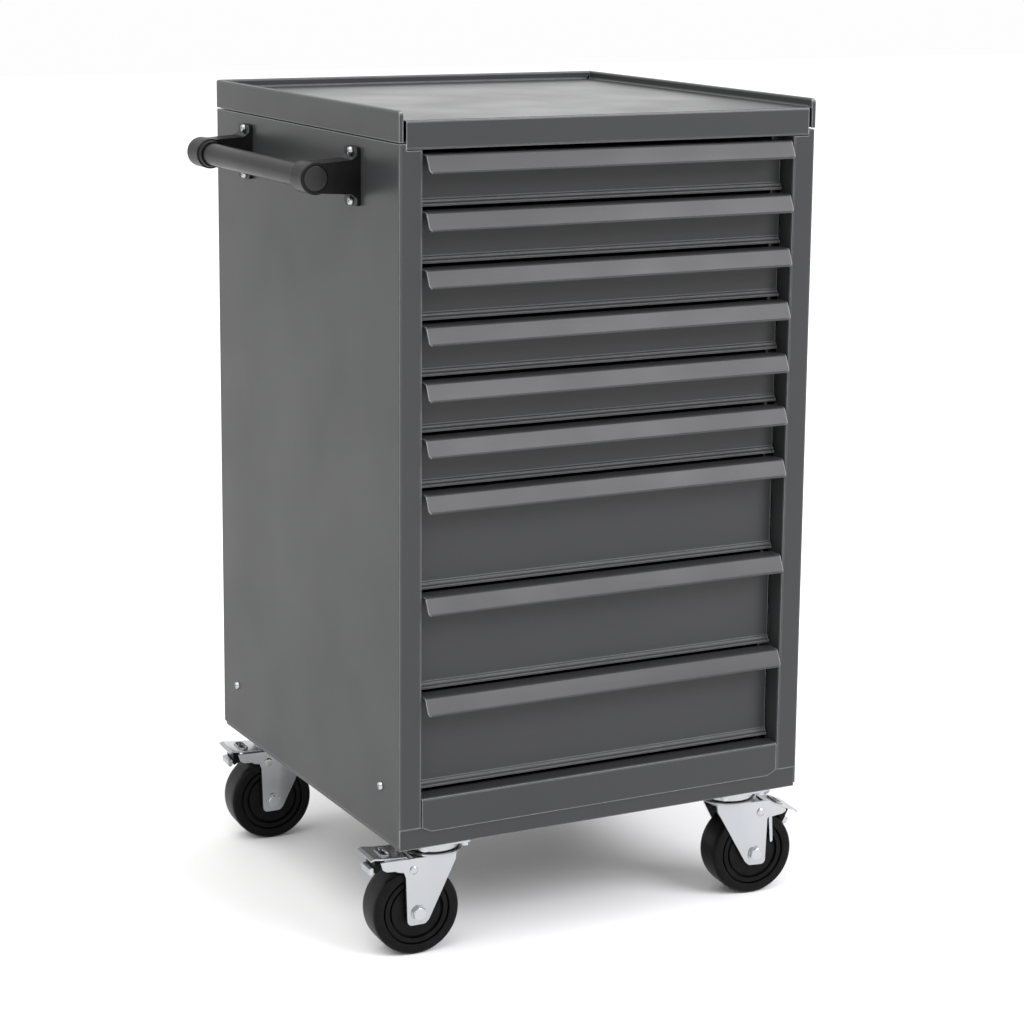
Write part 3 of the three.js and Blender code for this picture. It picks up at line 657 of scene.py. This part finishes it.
def caster_matrix(name):
    """The caster's own frame: on the floor below the swivel axis, with X along the trailing side."""
    swivel = JOINTS[f"caster_{name}_swivel"]["pos_m"]
    axis = JOINTS[f"caster_{name}_roll"]["axis"]
    turn = math.atan2(-axis[0], axis[1])
    return Matrix.Translation((swivel[0], swivel[1], 0)) @ Matrix.Rotation(turn, 4, "Z")


def wheel():
    """A solid rubber wheel with two grooves in each face around a raised hub."""
    profile = [(r, -h) for r, h in WHEEL_HALF] + [(r, h) for r, h in reversed(WHEEL_HALF)]
    profile.append(profile[0])
    return turned("y", profile, 96, (TRAIL, 0, AXLE_Z))


def leg(arm, side):
    outline = FORK_EDGE + arm
    radii = FORK_RADII + [ARM_BEND] * (len(arm) - 1) + [0.1]
    outline = rounded_loop(outline, radii, 4)
    bm = prism("y", outline, side * LEG_INNER, side * (LEG_INNER + LEG_THICK))
    geometry = bm.verts[:] + bm.edges[:] + bm.faces[:]
    bmesh.ops.bisect_plane(bm, geom=geometry, plane_co=(FOLD_X, 0, 0), plane_no=(1, 0, 0))
    for v in bm.verts:
        if v.co.x < FOLD_X:
            v.co.y -= side * (FOLD_X - v.co.x) * math.tan(math.radians(FOLD_TURN))
    return bm


def rod(axis, radius, start, end, segments, centre=(0, 0, 0)):
    return turned(axis, [(0, start), (radius, start), (radius, end), (0, end)], segments, centre)


def fork():
    """Two pressed legs under a deck with the lower ball race, drilled for axle, pivot and kingpin."""
    crown = turned("z", LOWER_RACE, 72)
    deck = prism("z", rounded_loop(DECK, DECK_CORNERS, 6), DECK_BOTTOM, DECK_TOP)
    bm = boolean(leg(LONG_ARM, 1), [leg(SHORT_ARM, -1), deck, crown], "UNION")
    drills = [
        rod("y", AXLE_RADIUS + HOLE_SLACK, -40, 40, 32, (TRAIL, 0, AXLE_Z)),
        rod("y", PIVOT_RADIUS + HOLE_SLACK, -40, 40, 24, (PIVOT_X, 0, PIVOT_Z)),
        rod("z", AXLE_RADIUS + HOLE_SLACK, 60, 140, 32),
    ]
    return softened(boolean(bm, drills), 0.5, 2, 35)


def hexagon(radius, turn=0):
    angles = [math.pi * (k + turn) / 3 for k in range(6)]
    return [(radius * math.cos(a), radius * math.sin(a)) for a in angles]


def axle_bolt():
    """A bolt through both legs, with a chamfered hexagon and a washer on each side."""
    seat = LEG_INNER + LEG_THICK + HOLE_SLACK
    top = seat + HEXAGON["height"]
    flats = hexagon(HEXAGON["radius"], HEXAGON["turn"])
    cone = [(0, seat - 1), (8.6, seat - 1), (8.6, top - 1.4), (6.6, top), (0, top)]
    washer = [(5, seat - 0.1), (9, seat - 0.1), (9, seat + 0.9), (5, seat + 0.9), (5, seat - 0.1)]
    parts = [rod("y", AXLE_RADIUS, -seat, seat, 40)]
    for side in (-1, 1):
        head = prism("y", flats, side * seat, side * top)
        chamfer = turned("y", [(r, side * h) for r, h in cone], 48)
        parts.append(softened(boolean(head, [chamfer], "INTERSECT"), 0.25, 2, 25))
        parts.append(turned("y", [(r, side * h) for r, h in washer], 48))
    return moved(joined(*parts), Matrix.Translation((TRAIL, 0, AXLE_Z)))


def top_plate(half_x, half_y, top):
    """The mounting plate with the upper ball race and the kingpin, whose head is inside the fork."""
    corners = [(-half_x, -half_y), (half_x, -half_y), (half_x, half_y), (-half_x, half_y)]
    plate = prism("z", rounded_loop(corners, PLATE_CORNER), top - PLATE_THICK, top)
    return joined(softened(plate, 0.6, 2, 40), turned("z", UPPER_RACE, 72), turned("z", KINGPIN, 40))


def hex_bolt(x, y, z):
    """A bolt head with its washer, hanging under the plate."""
    head = prism("z", hexagon(BOLT_HEAD["radius"]), BOLT_HEAD["bottom"], BOLT_HEAD["top"])
    washer = turned("z", BOLT_WASHER, 32)
    return moved(joined(softened(head, 0.5), washer), Matrix.Translation((x, y, z)))


# Outlines of the brake pedal and its shoe, about the pivot: seen from the side, from above for the
# slot and its rim, and (radius, offset) for the rivet.
PEDAL_HALF = 21.5
PEDAL_SHEET = 1.8
SHOE_HALF = 13
BACKING_HALF = 11.5
PEDAL_TOP = [(3.5, 13), (8, 14.6), (30, 15.5), (44, 17.2), (48.5, 15.6)]
PEDAL_BENDS = [4, 10, 3]
PEDAL_SLOT = [(22.5, -12.5), (32, -12.5), (32, 12.5), (22.5, 12.5)]
SLOT_RIM = [(21, -14), (33.5, -14), (33.5, 14), (21, 14)]
SLOT_RIM_HOLE = [(23, -12), (31.5, -12), (31.5, 12), (23, 12)]
CHEEK = [(-5, -4), (5, -5), (18, -1.5), (30, 6.5), (36, 14.2), (5, 13), (-5, 6)]
TAIL = [(12, 3), (29.6, -28), (31.2, -29.5), (32.8, -26.8), (17, 3)]
PIVOT_RIVET = [(0, 21), (3, 21), (3, 25.8), (4.6, 25.8), (4.6, 26.4), (3.4, 27.3), (0, 27.5)]
SHOE_BACKING = [(41.2, 4), (47.4, 2.5), (47, -3.5), (44.3, -6), (41.4, -3.5)]
SHOE = [(32.5, 13), (41, 14), (41, -4.5), (33, 0.8)]


def pedal_steel():
    """The released pedal: a bent plate with a rimmed slot, riveted cheeks, a tail and the shoe's backing."""
    plate = prism("y", sheet_outline(PEDAL_TOP, 1, PEDAL_SHEET, PEDAL_BENDS), -PEDAL_HALF, PEDAL_HALF)
    slot = prism("z", rounded_loop(PEDAL_SLOT, 4.5, 5), 5, 25)
    plate = softened(boolean(plate, [slot]), 0.4, 2, 35)
    rim_hole = prism("z", rounded_loop(SLOT_RIM_HOLE, 4.2, 6), 10, 20)
    rim = softened(boolean(prism("z", rounded_loop(SLOT_RIM, 6, 6), 14.2, 17.3), [rim_hole]), 0.6, 2, 35)
    parts = [plate, rim]
    for side in (-1, 1):
        wall = prism("y", rounded_loop(CHEEK, 2.5, 3), side * 20.5, side * 22)
        parts.append(softened(wall, 0.3, 1, 40))
        parts.append(turned("y", [(r, side * h) for r, h in PIVOT_RIVET], 32))
    parts.append(prism("y", TAIL, -21.9, -20.7))
    backing = prism("y", rounded_loop(SHOE_BACKING, 1.5, 3), -BACKING_HALF, BACKING_HALF)
    parts.append(softened(backing, 0.5, 2, 40))
    return joined(*parts)


def brake_shoe():
    return softened(prism("y", rounded_loop(SHOE, 1.5, 3), -SHOE_HALF, SHOE_HALF), 0.6, 2, 40)


def caster(name):
    here = caster_matrix(name)
    brake = JOINTS[f"caster_{name}_brake"]
    pressed = math.radians(-brake["range_deg"][0])
    pivot = here @ Matrix.Translation((PIVOT_X * MM, 0, PIVOT_Z * MM)) @ Matrix.Rotation(pressed, 4, "Y")
    tag = f"caster_{name}"
    straight = Matrix.Translation(here.translation)
    low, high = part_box(f"{tag}_top_plate")
    base_top = high.z / MM
    half_x, half_y = (high.x - low.x) / 2 / MM, (high.y - low.y) / 2 / MM
    plate = top_plate(half_x, half_y, base_top)
    piece(f"{tag}_mount", plate, "cabinet", ZINC, [f"{tag}_top_plate"], straight)
    bolts = joined(*[hex_bolt(x, y, base_top - PLATE_THICK) for x, y in PLATE_BOLTS])
    piece(f"{tag}_mount_bolts", bolts, "cabinet", SCREW_ZINC, [], straight)
    body = f"{tag}_fork"
    piece(f"{tag}_yoke", fork(), body, ZINC, [f"{tag}_fork"], here)
    piece(f"{tag}_bolt", axle_bolt(), body, SCREW_ZINC, [f"{tag}_axle_bolt"], here)
    piece(f"{tag}_tyre", wheel(), f"{tag}_wheel", RUBBER, [f"{tag}_wheel"], here)
    body = f"{tag}_pedal"
    piece(f"{tag}_brake_lever", pedal_steel(), body, ZINC, [f"{tag}_brake_pedal"], pivot)
    piece(f"{tag}_brake_shoe", brake_shoe(), body, RUBBER, [], pivot)


for corner in ("front_left", "front_right", "rear_left", "rear_right"):
    caster(corner)


# ---- Stage, light and camera ----


def floor():
    n = Nodes("floor")
    tone = n.ramp(n.noise(0.6, 2), 0.3, 0.7, 0.0, 1.0)
    colour = n.mix(tone, grey(0.86, 0.004), grey(0.885, 0.002))
    material = n.set(Base_Color=colour, Roughness=0.6, Specular_IOR_Level=0.2)
    mesh = bpy.data.meshes.new("floor")
    reach = 14
    corners = [(-reach, -reach, 0), (reach, -reach, 0), (reach, reach, 0), (-reach, reach, 0)]
    mesh.from_pydata(corners, [], [(0, 1, 2, 3)])
    mesh.materials.append(material)
    obj = bpy.data.objects.new("floor", mesh)
    bpy.context.scene.collection.objects.link(obj)


def staged_light(light, matrix):
    obj = bpy.data.objects.new(light.name, light)
    obj.matrix_world = matrix
    obj.visible_camera = False
    bpy.context.scene.collection.objects.link(obj)


def softbox(name, direction, distance, width, height, radiance, colour=(1, 1, 1)):
    """A large soft light that faces the chest. Its power follows from how bright its face looks."""
    light = bpy.data.lights.new(name, "AREA")
    light.shape = "RECTANGLE"
    light.size, light.size_y = width, height
    light.energy = radiance * math.pi * width * height
    light.color = colour
    aim = Vector((0, 0, 0.5))
    place = aim + Vector(direction).normalized() * distance
    turn = (place - aim).to_track_quat("Z", "Y").to_matrix().to_4x4()
    staged_light(light, Matrix.Translation(place) @ turn)


def soft_sun(direction, energy, angle):
    light = bpy.data.lights.new("soft_sun", "SUN")
    light.energy = energy
    light.angle = math.radians(angle)
    staged_light(light, Vector(direction).to_track_quat("Z", "Y").to_matrix().to_4x4())


def lights():
    """A white room with a softbox high in front, a smaller one behind and a broad sun from the left."""
    world = bpy.data.worlds.new("studio")
    world.use_nodes = True
    background = world.node_tree.nodes["Background"].inputs
    background["Color"].default_value = (1, 1, 1, 1)
    background["Strength"].default_value = 0.985
    bpy.context.scene.world = world
    softbox("front_box", (0.45, -0.73, 0.555), 5, 3, 1.8, 11, (0.975, 0.955, 1))
    softbox("rear_box", (0.45, 0.87, 0.27), 5, 1.3, 1.1, 0.9)
    soft_sun((-0.5, -0.2, 1), 1.6, 60)


def camera():
    """A long lens at standing height, turned to the chest's left front corner."""
    azimuth = math.radians(-27.433)
    pitch = math.radians(11.205)
    roll = math.radians(0.503)
    ahead = Vector((-math.sin(azimuth), math.cos(azimuth), 0))
    forward = ahead * math.cos(pitch) - Vector((0, 0, math.sin(pitch)))
    level = Vector((math.cos(azimuth), math.sin(azimuth), 0))
    upright = level.cross(forward)
    right = level * math.cos(roll) + upright * math.sin(roll)
    up = upright * math.cos(roll) - level * math.sin(roll)
    data = bpy.data.cameras.new("camera")
    data.lens = 94.03
    data.sensor_width = 36
    data.shift_y = -0.08
    data.clip_end = 60
    obj = bpy.data.objects.new("camera", data)
    rotation = Matrix((right, up, -forward)).transposed().to_4x4()
    obj.matrix_world = Matrix.Translation(ORIGIN + Vector((-1402.2, -2469.3, 1134.4)) * MM) @ rotation
    bpy.context.scene.collection.objects.link(obj)
    bpy.context.scene.camera = obj


floor()
lights()
camera()
bpy.context.scene.view_settings.view_transform = "Standard"
